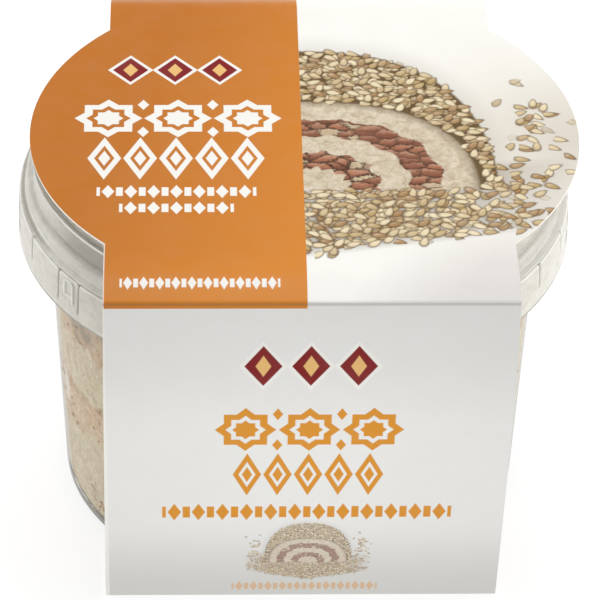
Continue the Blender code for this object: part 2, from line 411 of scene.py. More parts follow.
def lid_relief(azimuth, z):
    """How far the skirt's outside is pushed in (negative: raised), and its painted light and shade,
    for arrays of places.

    Each panel is a rectangle with rounded top corners. Its rim is a groove, a bell curve of
    the distance to the rectangle, which fades out above the skirt's lower part. The groove is
    painted darker as painted shade, and a painted highlight lies just inside the panel's top.
    Between the tab's slots a grip stands up, a bell curve round a rounded rectangle and one
    longer leg. It is painted whiter as a painted highlight, with painted shade in a ring round it.
    """
    edges = panel_edges()
    mean_r = (SKIRT_R + SKIRT_TOP_R) / 2
    degrees = np.degrees(azimuth)
    degrees = np.where(degrees < edges[0], degrees + 360, degrees)
    last = len(edges) - 1
    panel = np.clip(np.searchsorted(edges, degrees, side="right") - 1, 0, last)
    start = edges[panel]
    tab = panel == last
    end = np.where(tab, TAB_END + 360, edges[np.minimum(panel + 1, last)])
    half = np.radians(end - start) / 2 * mean_r
    along = np.radians(degrees - (start + end) / 2) * mean_r
    distance = past_sides(np.abs(along) - half, z - PANEL_TOP_Z, PANEL_CORNER)
    beside_tab = (panel == 0) & (along < 0) | (panel == last - 1) & (along > 0)
    foot = np.where(tab | beside_tab, TAB_SLOT_FOOT_Z, GROOVE_FOOT_Z)
    groove = np.exp(-(distance / 0.15) ** 2) * smooth_step(z, foot - 0.35, foot + 0.35)
    face = smooth_step(-distance, 0.1, 0.5) * smooth_step(z, foot - 1.2, foot + 1.0)
    lit_edge = np.exp(-((distance + 0.35) / 0.16) ** 2)
    lit_edge *= smooth_step(z, PANEL_TOP_Z - 1.4, PANEL_TOP_Z - 0.5)

    from_x, from_z = along - GRIP_X, z - GRIP_Z
    ring = np.abs(past_sides(np.abs(from_x) - GRIP_HALF_X, np.abs(from_z) - GRIP_HALF_Z, GRIP_CORNER))
    leg = np.hypot(from_x - GRIP_HALF_X, z - np.clip(z, GRIP_LEG_Z, GRIP_Z))
    away = np.minimum(ring, leg)
    grip = np.exp(-(away / 0.26) ** 4) * tab
    rim = np.exp(-((away - 0.42) / 0.12) ** 2) * tab
    pushed_in = GROOVE_DEPTH * groove - FACE_HEIGHT * face - GRIP_HEIGHT * grip
    # the tone is painted light and shade: highlights on the grip and panel tops, shade in grooves and
    # round the grip
    return pushed_in, 0.9 * grip + 1.0 * lit_edge - 0.9 * groove - 0.6 * rim


def lid_azimuths():
    """Even azimuths, with more close to every groove and over the tab, in radians."""
    mean_r = (SKIRT_R + SKIRT_TOP_R) / 2
    beside = np.array([0.0, 0.07, 0.14, 0.22, 0.34, 0.55, 1.0])
    offsets = np.concatenate([-beside[:0:-1], beside]) / mean_r
    grooves = np.radians(panel_edges())[:, None] + offsets
    tab_middle = math.radians((TAB_START + TAB_END) / 2)
    tab = tab_middle + np.arange(-1.6, 2.7, 0.1) / mean_r
    slot = np.radians(TAB_END) + offsets
    even = np.radians(np.arange(0, 360, 2.0))
    merged = np.sort(np.concatenate([even, grooves.ravel(), tab, slot]) % (2 * math.pi))
    keep = np.diff(merged, prepend=merged[-1] - 2 * math.pi) * mean_r > 0.045
    return merged[keep]


def near(radius, height, spot_r, spot_z, width):
    """A bell curve of the distance to a corner of the profile."""
    return np.exp(-((radius - spot_r) ** 2 + (height - spot_z) ** 2) / width ** 2)


def lid_tone(radius, height, azimuths, outside):
    """Painted light and shade on the lid: above 0 the plastic is painted whiter, below it darker.

    On its outside there is a bell curve round every corner in the lid's table of painted lines,
    which are painted highlights and painted shade lines. There is a painted dark line round the
    skirt's foot and slight painted shade on the shoulder at the right. In front on the left the
    collar between the shoulder and the ridge is painted dark, as the painted shadow of the card,
    and the rest slightly so. What is dark fades by half away from the left end.
    """
    at = np.degrees(azimuths)
    from_left_end = np.abs(at - 180)
    left_end = smooth_step(from_left_end, 30, 20)
    painted_lines = sum((share + (end_share - share) * left_end) * near(radius, height, *spot)
               for end_share, share, *spot in LID_PAINTED_LINES)
    collar = smooth_step(height, 72.0, 72.3) * smooth_step(height, 76.35, 76.05) * (radius > 51.6)
    front_left = smooth_step(at, 198, 218) * (at < 270)
    tone = (painted_lines - COLLAR_SHADE * collar * front_left) * outside - LEFT_SHADE * front_left
    tone *= 1 - 0.5 * smooth_step(from_left_end, 80, 110) * (tone < 0)
    foot = FOOT_SHADE * near(radius, height, SKIRT_R, SKIRT_BOTTOM_Z + 0.3, 0.3)
    shoulder = RIGHT_SHADE * smooth_step(height, 68.8, 69.6) * smooth_step(at, 280, 300)
    return tone - (foot + shoulder) * outside


def make_lid(material):
    """The lid, turned from a line over the plate, ridge and shoulder, down the skirt and back inside.

    The rows of the skirt lie close enough for the panels' relief, which moves them inwards.
    """
    channel_z = RIDGE_Z - 0.4
    below_top = SKIRT_TOP_R + 0.03, SKIRT_TOP_Z - 0.4
    above_foot = SKIRT_R - 0.02, 59.4
    outside_top = rounded([
        (0.0, PLATE_Z, 0.0), (48.4, PLATE_Z, 1.2), (49.9, channel_z, 0.35), (50.75, channel_z, 0.2),
        (51.1, RIDGE_Z, 0.25), (RIDGE_R, RIDGE_Z, 0.25), (RIDGE_R, 72.05, 0.45),
        (SHOULDER_R, 71.65, 1.4), (SHOULDER_R, SKIRT_TOP_Z + 0.7, 0.3),
        (SKIRT_TOP_R, SKIRT_TOP_Z, 0.25), (*below_top, 0.0)], 3)
    skirt_mid = 54.6, SKIRT_TOP_Z - 1.2
    skirt = np.concatenate([divided(np.array([below_top, skirt_mid]), 0.1),
                            divided(np.array([skirt_mid, above_foot]), 0.27)[1:]])
    inside = rounded([
        (*above_foot, 0.0), (SKIRT_R, SKIRT_BOTTOM_Z, 0.25), (54.15, SKIRT_BOTTOM_Z, 0.25),
        (53.55, 67.5, 0.3), (52.8, 67.55, 0.2), (52.8, 70.9, 0.8), (51.1, 71.2, 0.4),
        (51.1, 75.4, 0.3), (49.1, 75.4, 0.4), (47.7, PLATE_Z - 0.9, 0.6), (0.0, PLATE_Z - 0.9, 0.0)], 2)
    plate_edge = int(np.argmax(outside_top[:, 0] > 48.5))
    top = np.concatenate([divided(outside_top[:plate_edge + 1], 12.0),
                          divided(outside_top[plate_edge:], 0.22)[1:]])
    profile = np.concatenate([top[:-1], skirt, divided(inside, 12.0)[1:]])
    azimuths = lid_azimuths()
    radius, height = around(profile, azimuths)
    outside = np.arange(len(profile))[:, None] < len(top) + len(skirt)
    tone = lid_tone(radius, height, azimuths, outside)
    on_skirt = slice(len(top) - 9, len(top) - 1 + len(skirt))
    turn = np.broadcast_to(azimuths, radius[on_skirt].shape)
    relief, shade = lid_relief(turn, height[on_skirt])
    radius[on_skirt] -= relief
    tone[on_skirt] += shade
    return turned("lid_shell", radius, height, azimuths, material, 50.0, {"tone": tone})


def lid_plastic():
    """Satin polypropylene that lets some of what is behind it through, with fine streaks round it.

    Where the tone paints highlights it is whiter and denser, where it paints shade it is darker,
    and seen edge-on it is painted dark and shut, as a painted dark outline.
    """
    paint = Paint("lid_plastic")
    place = paint.object_place()
    cloud = paint.noise(place, 55.0, 3.0)
    fine = paint.noise(place, 900.0, 2.0)
    streak = paint.noise(paint.scaled(place, (1.0, 1.0, 1.6)), 300.0, 5.0, 0.7, 1.0)
    tone = paint.number("tone")
    pale, deep = tone.over(0.0, 1.0), tone.over(0.0, -1.0)
    edge = paint.edge_on(0.90, 0.98)
    tint = paint.coats(
        (0.80, 0.775, 0.695),
        (cloud.over(0.35, 0.7), (0.88, 0.857, 0.78)),
        (streak.over(0.46, 0.62) * 0.45, (0.60, 0.578, 0.51)),
        (streak.over(0.44, 0.30) * 0.6, (0.95, 0.94, 0.90)),
        # painted highlights, painted shade, and a painted dark outline where the lid is seen edge-on
        (pale * 0.9, (0.95, 0.94, 0.91)),
        (deep * 0.75, (0.28, 0.256, 0.212)),
        (edge * 0.95, (0.15, 0.15, 0.14)))
    clear = (0.30 - pale * 0.22) * (1 - edge)
    paint.set(Base_Color=tint, Roughness=0.34, Transmission_Weight=clear, IOR=1.40,
              Specular_IOR_Level=0.5 - edge * 0.5)
    paint.bump(fine * 0.5 + streak, 0.12, 0.3)
    return paint.material


# ---- tub

def outer_radius(z):
    """Outside of the tub's wall at a height."""
    return FOOT_R + WALL_SLOPE * (z - TUB_BASE_Z)


def make_tub(material):
    """The tub, turned from a line over its floor, up the wall, over the rim and down outside."""
    wall = TUB_WALL
    inner_low = outer_radius(FLOOR_Z + wall) - wall
    profile = rounded([
        (0.0, FLOOR_Z + wall, 0.0), (inner_low, FLOOR_Z + wall, 1.2),
        (outer_radius(FLANGE_Z) - wall, FLANGE_Z + wall, 0.3), (RIM_R, FLANGE_Z + wall, 0.5),
        (RIM_R, RIM_LIP_Z, 0.3), (RIM_R - wall, RIM_LIP_Z, 0.3),
        (RIM_R - wall, FLANGE_Z, 0.4), (outer_radius(FLANGE_Z) + 0.02, FLANGE_Z, 0.4),
        (outer_radius(FOOT_BAND_Z), FOOT_BAND_Z, 0.0), (FOOT_R, TUB_BASE_Z, 0.9),
        (43.9, TUB_BASE_Z, 0.4), (43.4, FLOOR_Z, 0.4), (0.0, FLOOR_Z, 0.0)], 5)
    start = int(np.argmax((profile[:, 1] == FOOT_BAND_Z) & (profile[:, 0] > inner_low)))
    end = start + 8
    profile = np.concatenate([divided(profile[:start + 1], 6.0)[:-1],
                              divided(profile[start:end + 1], 0.15),
                              divided(profile[end:], 6.0)[1:]])
    azimuths = np.radians(np.arange(0, 360, 1.5))
    radius, height = around(profile, azimuths)
    outside = (radius > outer_radius(height) - 0.6) & (height < FOOT_BAND_Z)
    # Painted shade: a dark line at the floor's edge and a darker grey foot below it, the shadowed hollow
    # foot ring
    line = 1.4 * np.exp(-((height - 2.95) / 0.28) ** 2) + 0.4 * np.exp(-((height - TUB_BASE_Z) / 0.4) ** 2)
    tone = np.minimum(line * 0.5 + 0.5 * smooth_step(height, 3.1, 2.7), 1.0) * outside
    return turned("tub_shell", radius, height, azimuths, material, 50.0, {"tone": tone})


def tub_plastic():
    """Clear polypropylene: a thin veil over what is behind it, thicker seen edge-on with a painted
    dark outline, and dark and shut where the tone paints shade at the floor's edge and the foot."""
    paint = Paint("tub_plastic")
    cloud = paint.noise(paint.object_place(), 40.0, 2.0)
    tone = paint.number("tone")
    edge = paint.edge_on(0.82, 0.95)
    tint = paint.coats(
        (0.46, 0.45, 0.41),
        (cloud.over(0.3, 0.7), (0.56, 0.55, 0.51)),
        # a painted dark outline edge-on, then painted shade at the floor's edge and on the foot
        (edge, (0.22, 0.215, 0.19)),
        (tone.over(0.0, 0.5), (0.25, 0.235, 0.19)),
        (tone.over(0.5, 1.0), (0.05, 0.045, 0.035)))
    veil = (edge * 0.7 + 0.22).most(tone.over(0.0, 0.5) * 0.92)
    paint.set(Base_Color=tint, Roughness=0.15, Specular_IOR_Level=0.2, Alpha=veil)
    paint.bump(cloud, 0.06, 0.3)
    return paint.material


# ---- cake

def edge_height(index, azimuth):
    """Height of a layer's edge: its level, slow waves that climb at its azimuth, and small ones."""
    level, edge = LAYER_LEVELS[index], LAYER_EDGES[index]
    if edge is None:
        return np.full_like(azimuth, level)
    climb, share, phase = edge
    turned_by = azimuth - math.radians(climb)
    slow = sum(height * np.sin(turns * turned_by) for turns, height in SLOW_WAVES)
    small = sum(height * np.sin(turns * azimuth - phase) for turns, height in SMALL_WAVES)
    return level + share * slow + small


def crumb(azimuth, z, seed, count=26):
    """Uneven surface of pressed crumbs, about -1 to 1: a sum of seeded waves over angle and height."""
    draw = np.random.default_rng(seed)
    total = np.zeros(np.broadcast(azimuth, z).shape)
    for _ in range(count):
        turns = draw.integers(6, 150)
        rise = draw.uniform(0.15, 2.4)
        total += np.sin(turns * azimuth + rise * z + draw.uniform(0, 6.3)) / math.sqrt(count / 2)
    return total


def make_layer(index, name, material):
    """One layer of the cake: a disc whose side reaches just into the tub's wall.

    The side is a grid over azimuth and the share of the way from the lower to the upper
    edge, and the crumbs move it to and fro inside the wall. The caps run from the edges'
    waves to a flat middle, and the topmost one is crumbly.
    """
    azimuths = np.radians(np.arange(0, 360, 1.0))
    low = edge_height(index, azimuths) + (0.03 if index else 0.0)
    high = edge_height(index + 1, azimuths)
    thickness = LAYER_LEVELS[index + 1] - LAYER_LEVELS[index]
    share = np.linspace(0, 1, max(8, round(thickness / 0.8)))[:, None]
    side_z = low + (high - low) * share
    relief = 0.05 * crumb(azimuths, side_z, seed=11 + index)
    side_r = outer_radius(side_z) - TUB_WALL + 0.45 + np.clip(relief, -0.1, 0.15)

    rings = np.array([0.0, 0.35, 0.65, 0.85, 0.95])[:, None]
    middle_low, middle_high = LAYER_LEVELS[index], LAYER_LEVELS[index + 1]
    cap_low = middle_low + (low - middle_low) * rings ** 4
    cap_high = middle_high + (high - middle_high) * rings ** 4
    if index == 4:
        cap_high = cap_high + 0.5 * crumb(azimuths, rings * 20, seed=31) * (rings > 0)
    radii = np.concatenate([rings * side_r[-1], side_r[::-1], (rings * side_r[0])[::-1]])
    heights = np.concatenate([cap_high, side_z[::-1], cap_low[::-1]])
    seam, rise = layer_marks(heights, azimuths)
    return turned(name, radii, heights, azimuths, material, 60.0, {"seam": seam, "rise": rise})


def layer_marks(z, azimuth):
    """How deep a place lies inside the nearest filling (negative: outside it), and its share of
    the way from that filling's lower edge to its upper one."""
    best, rise = np.full(z.shape, -99.0), np.zeros(z.shape)
    for lower in (1, 3):
        low, high = edge_height(lower, azimuth), edge_height(lower + 1, azimuth)
        inside = np.minimum(z - low, high - z)
        rise = np.where(inside > best, (z - low) / (high - low), rise)
        best = np.maximum(best, inside)
    return best, rise


# Stray chips in the halva: azimuth in degrees, height, size
STRAYS = ((211.0, 4.7, 1.0), (211.8, 4.0, 1.1), (213.6, 6.2, 1.2), (214.4, 5.4, 1.0), (212.6, 5.2, 0.8),
          (31.0, 12.0, 1.1), (96.0, 38.0, 0.9), (148.0, 9.0, 1.2), (172.0, 40.0, 1.0), (346.0, 35.0, 1.1))


def make_chips(material):
    """Chopped nuts in both fillings and a few strays, one mesh of lumps with twelve corners each.

    A lump is an icosahedron whose corners move in or out at random, stretched along three
    axes and turned at random. Its outermost corner reaches a little into the tub's wall.
    """
    draw = np.random.default_rng(5)
    count = 520
    azimuth = draw.uniform(0, 2 * math.pi, count)
    upper = draw.random(count) < 0.5
    low = np.where(upper, edge_height(3, azimuth), edge_height(1, azimuth))
    high = np.where(upper, edge_height(4, azimuth), edge_height(2, azimuth))
    z = low + (high - low) * draw.uniform(0.08, 0.92, count)
    size = draw.uniform(0.45, 1.15, count)
    strays = np.array(STRAYS)
    azimuth = np.concatenate([azimuth, np.radians(strays[:, 0])])
    z = np.concatenate([z, strays[:, 1]])
    size = np.concatenate([size, strays[:, 2]])
    count = len(z)

    golden = (1 + math.sqrt(5)) / 2
    ring = [(0, a, b * golden) for a in (-1, 1) for b in (-1, 1)]
    corners = np.array(ring + [p[2:] + p[:2] for p in ring] + [p[1:] + p[:1] for p in ring], float)
    corners /= np.linalg.norm(corners[0])
    gaps = np.linalg.norm(corners[:, None] - corners, axis=2)
    linked = (gaps > 0.1) & (gaps < 1.2)
    faces = [(i, j, k) for i in range(12) for j in range(i + 1, 12) for k in range(j + 1, 12)
             if linked[i, j] and linked[j, k] and linked[i, k]]
    faces = np.array([f if np.linalg.det(corners[list(f)]) > 0 else f[::-1] for f in faces])

    lumps = corners * draw.uniform(0.72, 1.15, (count, 12, 1)) * draw.uniform(0.55, 1.15, (count, 1, 3))
    turns = np.linalg.qr(draw.normal(size=(count, 3, 3)))[0]
    turns *= np.sign(np.linalg.det(turns))[:, None, None]
    lumps = np.einsum("nij,npj->npi", turns, lumps) * size[:, None, None]
    outward = np.stack([np.cos(azimuth), np.sin(azimuth), np.zeros(count)], 1)
    reach = np.einsum("npi,ni->np", lumps, outward).max(1)
    centre = outward * (outer_radius(z) - TUB_WALL + 0.74 - reach)[:, None] + np.array((TUB_X, 0.0, 0.0))
    centre[:, 2] = z
    points = (lumps + centre[:, None]).reshape(-1, 3)
    all_faces = (faces + 12 * np.arange(count)[:, None, None]).reshape(-1, 3)
    shade = np.repeat(draw.random(count), 12)
    return make_mesh("nut_chips", points, [all_faces], [material], 30.0, {"shade": shade})


def cake_tint(steps, place, seam, rise):
    """Pale sesame paste with fibrous streaks and crumbs, and caramel filling where the seam,
    made ragged by noise, is above 0: amber along its upper edge, flecked with brown below."""
    broad = steps.noise(place, 60.0, 4.0, 0.6, 0.6)
    hue = steps.noise(place, 150.0, 4.0, 0.6, 0.8)
    fibres = steps.noise(steps.scaled(place, (1.0, 1.0, 0.12)), 420.0, 3.0, 0.6)
    mottle = steps.noise(place, 330.0, 5.0, 0.7, 1.2)
    grain = steps.noise(place, 1500.0, 3.0, 0.7)
    paste = steps.coats(
        (210, 196, 166),
        (broad.over(0.32, 0.68), (226, 214, 186)),
        (hue.over(0.50, 0.64) * 0.5, (218, 198, 174)),
        (hue.over(0.46, 0.34) * 0.5, (206, 199, 158)),
        (fibres.over(0.50, 0.60) * broad.over(0.40, 0.56) * 0.5, (184, 158, 118)),
        (mottle.over(0.50, 0.62) * 0.4, (176, 152, 120)),
        (mottle.over(0.47, 0.36) * 0.5, (236, 228, 206)),
        (grain.over(0.50, 0.60) * 0.35, (170, 144, 108)))

    # the last coat is painted shade, darker towards the upper filling's top under the skirt, by height in
    # metres
    level = rise + (broad - 0.5) * 0.6 + (mottle - 0.5) * 0.6
    _, _, height = steps.parts(place)
    spread = steps.coats(
        (198, 168, 134),
        (mottle.over(0.36, 0.60), (222, 202, 174)),
        (hue.over(0.50, 0.62) * 0.5, (210, 178, 126)),
        (grain.over(0.50, 0.64) * 0.55, (170, 122, 76)),
        (level.over(0.74, 0.90) * 0.7, (178, 132, 84)),
        (level.over(0.78, 0.92) * hue.over(0.50, 0.42) * 0.6, (166, 144, 82)),
        (level.over(0.30, 0.12) * mottle.over(0.50, 0.62) * 0.6, (186, 138, 80)),
        (height.over(0.0435, 0.053) * mottle.over(0.40, 0.58) * 0.6, (126, 104, 76)))
    ragged = seam + (mottle - 0.5) * 8.0 + (broad - 0.5) * 4.0

    # a pale patch of painted light where a gap between cake and wall would let light through, a caramel
    # smear low down beside the sleeve, and painted shade in dark blotches under the skirt
    gap_light = steps.blob(place, (-46.4, -11.7, 27.0), (4.0, 3.0, 4.5)).over(0.0, 0.5)
    smear = steps.blob(place, (-41.1, -22.7, 7.8), (2.6, 1.9, 4.2)).over(0.0, 0.8)
    skirt_shade = steps.blob(place, (-43.0, -22.6, 48.2), (4.0, 6.0, 4.0)).over(0.0, 0.5)
    return steps.coats(
        paste,
        (ragged.over(-0.9, 0.9), spread),
        (gap_light * 0.6, (236, 233, 224)),
        (smear * (mottle.over(0.44, 0.54) * 0.6), (146, 106, 62)),
        (skirt_shade * (mottle.over(0.38, 0.56) * 0.5 + 0.05), (92, 82, 64)))


def cake_surface(name, tint, roughness):
    """A cut side of the cake, pressed against the tub: crumbs and fibres stand up a little."""
    paint = Paint(name)
    place = paint.object_place()
    lumps = paint.noise(place, 330.0, 5.0, 0.7, 1.2)
    base = paint.use(tint, place, paint.number("seam"), paint.number("rise"))
    paint.set(Base_Color=base, Roughness=roughness, Specular_IOR_Level=0.3)
    paint.bump(lumps, 0.12, 0.4)
    return paint.material


def nut_meat():
    """Broken nuts: some pale inside, some brown with skin."""
    paint = Paint("nut_meat")
    grain = paint.noise(paint.object_place(), 700.0, 3.0, 0.6)
    base = paint.coats((172, 128, 78), (paint.number("shade").over(0.25, 0.95), (226, 202, 160)),
                       (grain.over(0.5, 0.7) * 0.5, (158, 108, 52)))
    paint.set(Base_Color=base, Roughness=0.6)
    paint.bump(grain, 0.2, 0.5)
    return paint.material


# ---- sleeve

def upright(side, crease_z):
    """Corners of the front (side -1) or back (side 1) panel, from its foot to the top's middle."""
    return [(-side * FOOT_Y, 0.0, 0.0), (side * FOOT_Y, 0.0, 0.75), (side * HIP_Y, HIP_Z, 60.0),
            (side * CREASE_Y, crease_z, 0.75), (side * BEND_Y, TOP_Z, 14.0), (0.0, TOP_Z, 0.0)]


def sleeve_line():
    """The band's outer line (y, z) once round, and the print's run v at every point.

    v is 0 at the front crease, y + 54.1 over the top, z - 78.3 down the front, and 108.2 plus
    the drop below the back crease down the back. Along the bottom it goes on from the front.
    """
    front = divided(rounded(upright(-1, FRONT_CREASE_Z), 8)[1:-1], 2.5)
    back = divided(rounded(upright(1, BACK_CREASE_Z), 8)[1:-1], 2.5)
    neck = math.acos(BAND_HALF / DISC_R)
    disc_y = DISC_R * np.sin(np.linspace(-neck, neck, 90))
    disc = np.stack([disc_y, np.full_like(disc_y, TOP_Z)], 1)
    shelf = divided(np.array([(FOOT_Y - 1.2, 0.0), (-FOOT_Y + 1.2, 0.0)]), 6.0)[1:-1]
    front_join = divided(np.stack([front[-1], disc[0]]), 1.5)[1:-1]
    back_join = divided(np.stack([disc[-1], back[-1]]), 1.5)[1:-1]
    line = np.concatenate([front, front_join, disc, back_join, back[::-1], shelf])
    y, z = line.T
    crease = 2 * CREASE_Y
    run = np.where(z > FRONT_CREASE_Z, y + CREASE_Y, z - FRONT_CREASE_Z)
    on_back = (y > 0) & (z < BACK_CREASE_Z)
    run = np.where(on_back, crease + BACK_CREASE_Z - z, run)
    run = np.where((y > 0) & (z >= BACK_CREASE_Z), y + CREASE_Y, run)
    return line, run


def make_sleeve(printed, plain, cut):
    """The board: the band's line carried across its width, its thickness laid inwards.

    Across, the points are a share of the half width, which is the disc's chord on the flat
    top and the band's elsewhere. The inside lies one board thickness along the line's normal.
    """
    line, run = sleeve_line()
    tangent = np.roll(line, -1, 0) - np.roll(line, 1, 0)
    tangent /= np.linalg.norm(tangent, axis=1)[:, None]
    inner = line - np.stack([-tangent[:, 1], tangent[:, 0]], 1) * BOARD
    y, z = line.T
    chord = np.sqrt(np.maximum(DISC_R ** 2 - y ** 2, 0))
    half = np.where(z >= TOP_Z - 1e-6, np.maximum(BAND_HALF, chord), BAND_HALF)
    lean = SLEEVE_LEAN * np.clip(1 - z / BACK_CREASE_Z, 0, 1)
    u = half[:, None] * np.linspace(-1, 1, 33) - lean[:, None]

    def sheet(x, path_y, path_z):
        wide = [np.broadcast_to(path[:, None], u.shape) for path in (path_y, path_z)]
        return np.stack([x, *wide], -1).reshape(-1, 3)

    points = np.concatenate([sheet(SLEEVE_X + u, *path.T) for path in (line, inner)])
    flat = np.tile(sheet(u, run, np.zeros_like(run)), (2, 1))
    numbers = np.arange(u.size).reshape(u.shape)
    closed = np.concatenate([numbers, numbers[:1]])
    outer = quads(closed.T)
    left = quads(np.stack([closed[:, 0], closed[:, 0] + u.size], 1))
    right = quads(np.stack([closed[:, -1], closed[:, -1] + u.size]))
    slots = np.repeat([0, 1, 2], [len(outer), len(outer), len(left) * 2])
    return make_mesh("sleeve_board", points, [outer, outer[:, ::-1] + u.size, left, right],
                     [printed, plain, cut], 40.0, {"flat": flat}, slots)


ORANGE_DEEP, ORANGE_LIGHT, FRONT_ORANGE = (194, 116, 38), (217, 135, 46), (222, 148, 40)
WHITE, DARK_RED, HEART = (246, 244, 238), (132, 24, 28), (236, 190, 120)
ARCH_BASE = 34.0                # arch of seeds and ribbons, right of the orange field: its foot,
ARCH, CORE = (37.5, 50.0), (33.5, 31.0)     # half width and rise, and the same of its inside
SMALL_SCALE, SMALL_BASE = 4.3, 10.2         # how much smaller it is in front, and its foot there
BACK_RUN = 2 * CREASE_Y         # the print's run at the back crease


def star(x, y):
    """1 on the outline of an eight-pointed star and less inside: a square of half side 1 over
    one turned by 45 degrees."""
    square = x.abs().most(y.abs())
    turned_square = (x.abs() + y.abs()) * (1 / math.sqrt(2))
    return square.least(turned_square)


def lozenge(x, y, half_x, half_y):
    """1 inside a lozenge with those half sizes."""
    reach = x.abs() * (1 / half_x) + y.abs() * (1 / half_y)
    return reach.under(1.0, 0.08 / min(half_x, half_y))


def ringed(reach, size, outer, inner):
    """1 in a motif of a size, without the ring between two shares of it."""
    edge = 0.07 / size
    return reach.under(1.0, edge) - (reach.under(outer, edge) - reach.under(inner, edge))


def in_row(u, middle, pitch, count):
    """1 along a row of that many motifs."""
    return (u - middle).abs().under(pitch * count / 2, 0.05)


def row_axes(u, middle, pitch, count):
    """Distance along a row from the nearest motif, and from the nearest place between two."""
    start = middle - pitch * (count - 1) / 2
    return u.wave(pitch, start), u.wave(pitch, start + pitch / 2)


def star_row(u, v, middle, level, pitch, count, size):
    """A row of stars, each ringed round a smaller star, with small lozenges between them."""
    x, between = row_axes(u, middle, pitch, count)
    y = v - level
    stars = ringed(star(x, y) * (1 / size), size, 0.66, 0.44) * in_row(u, middle, pitch, count)
    gems = lozenge(between, y.abs() - size * 1.02, size * 0.24, size * 0.38)
    return stars + gems * in_row(u, middle, pitch, count - 1)


def tile_row(u, v, middle, level, pitch, count, half_x, half_y):
    """A row of tall lozenges, each ringed round a smaller one."""
    x, _ = row_axes(u, middle, pitch, count)
    reach = x.abs() * (1 / half_x) + (v - level).abs() * (1 / half_y)
    return ringed(reach, half_x, 0.60, 0.36) * in_row(u, middle, pitch, count)


def bead_row(u, v, middle, level, pitch, count, height):
    """A row of small lozenges and short bars by turns."""
    x, between = row_axes(u, middle, pitch, count)
    y = v - level
    beads = lozenge(x, y, pitch * 0.28, height / 2)
    bars = between.abs().under(pitch * 0.15, 0.06) * y.abs().under(height * 0.33, 0.06)
    return beads.most(bars) * in_row(u, middle, pitch, count)


# The rows on the orange field and on the upright panels: kind, middle, level, pitch, count, sizes
FIELD_ROWS = ((star_row, -25.0, 59.0, 13.8, 3, 4.75), (tile_row, -25.4, 44.9, 7.0, 5, 3.3, 7.3),
              (bead_row, -25.3, 33.5, 4.4, 7, 4.4), (bead_row, -25.3, 28.0, 4.4, 5, 4.2),
              (bead_row, -20.9, 4.4, 3.0, 10, 3.0))
PANEL_ROWS = ((star_row, 0.0, 48.6, 12.2, 3, 4.15), (tile_row, 0.0, 36.0, 5.9, 5, 2.75, 6.0),
              (bead_row, 0.0, 25.2, 4.7, 12, 4.8))


def all_rows(u, v, rows):
    """1 on the motifs of every row."""
    return sum(kind(u, v, *values) for kind, *values in rows).least(1.0)


def red_lozenges(steps, base, u, v, middle, level):
    """Three dark red lozenges side by side, each with a pale rim and a pale heart."""
    size = 6.2
    pitch = size * 1.45
    inside = in_row(u, middle, pitch, 3)
    x, y = u.wave(pitch, middle), v - level
    return steps.coats(base, *(
        (lozenge(x, y, size * share, size * (share + 0.14)) * inside, tint)
        for share, tint in ((0.74, WHITE), (0.58, DARK_RED), (0.24, HEART))))


def arch(u, v, half, rise):
    """How far out the place lies in an arch that stands on its base, 1 on its outer edge.

    It is |u / half|^2.4 plus |height / rise|^2.4, to the power 1 / 2.4, and large below the base.
    """
    height = v - ARCH_BASE
    spread = (u.abs() * (1 / half)).power(2.4) + (height.most(0.0) * (1 / rise)).power(2.4)
    return spread.power(1 / 2.4) + height.over(0.0, -0.2) * 9.0


def drift_share(u, v):
    """1 in the middle of the drift of seeds at the arch's foot, 0 at its rim."""
    line = (v - 24.0 - u.abs() * 0.2) * (1 / 12.5)
    return (line * line).over(1.0, 0.5) * u.abs().over(55.0, 27.0)


def heap(u, v):
    """How many cells hold a seed, 0 to 1: all round the arch's outside, fewer in the drift below."""
    out = u.abs()
    on_arch = arch(u, v, *ARCH).over(1.0, 0.98) * arch(u, v, *CORE).over(1.0, 1.03)
    bank = drift_share(u, v) * arch(u, v, *CORE).over(0.98, 1.0)
    far = out.over(38.0, 42.0) * out.over(54.0, 46.0) * v.over(74.0, 58.0) * v.over(30.0, 36.0) * 0.25
    return on_arch.most(bank.most(far))


def seed_layer(steps, base, place, pitch, length, number):
    """A layer of oval seeds, one to each cell of a Voronoi pattern.

    Round each cell's middle the place is turned by the cell's own angle; the seed is where
    (along / length)^2 + (across / width)^2 is under 1, with the width less at one end.
    """
    u, v, _ = steps.parts(place)
    shift_u, shift_v = number * 17.3, number * 9.1
    cells = steps.cells(steps.vector(u / pitch + shift_u, v / pitch + shift_v), randomness=0.62)
    middle_u, middle_v, _ = steps.parts(cells["Position"])
    middle_u, middle_v = (middle_u - shift_u) * pitch, (middle_v - shift_v) * pitch
    chance, angle, tone = steps.parts(cells["Color"])
    away_u, away_v = u - middle_u, v - middle_v
    turn = angle * 2.4 - 0.9
    sine, cosine = turn.sin(), turn.cos()
    along = (away_u * cosine + away_v * sine) / length
    across = (away_v * cosine - away_u * sine) / length / (along * -0.16 + 0.52)
    reach = along * along + across * across
    held = (heap(middle_u, middle_v) - chance).over(0.0, 0.02)
    lit = (away_v * 0.8 - away_u * 0.5) / length * 0.6 + 0.5
    body = steps.coats(
        (190, 160, 108),
        (tone, (242, 226, 190)),
        ((tone * 7.0).fraction().over(0.76, 0.84) * 0.8, (164, 122, 76)),
        (reach.over(0.30, 1.0) * (1 - lit * 0.55), (96, 70, 34)),
        (lit.over(0.5, 0.9) * reach.over(0.85, 0.15) * 0.5, (252, 243, 220)))
    return steps.coats(base, (reach.soft(2.1, 0.9) * held * 0.55, (92, 70, 42)),
                       (reach.over(1.06, 0.95) * held, body))


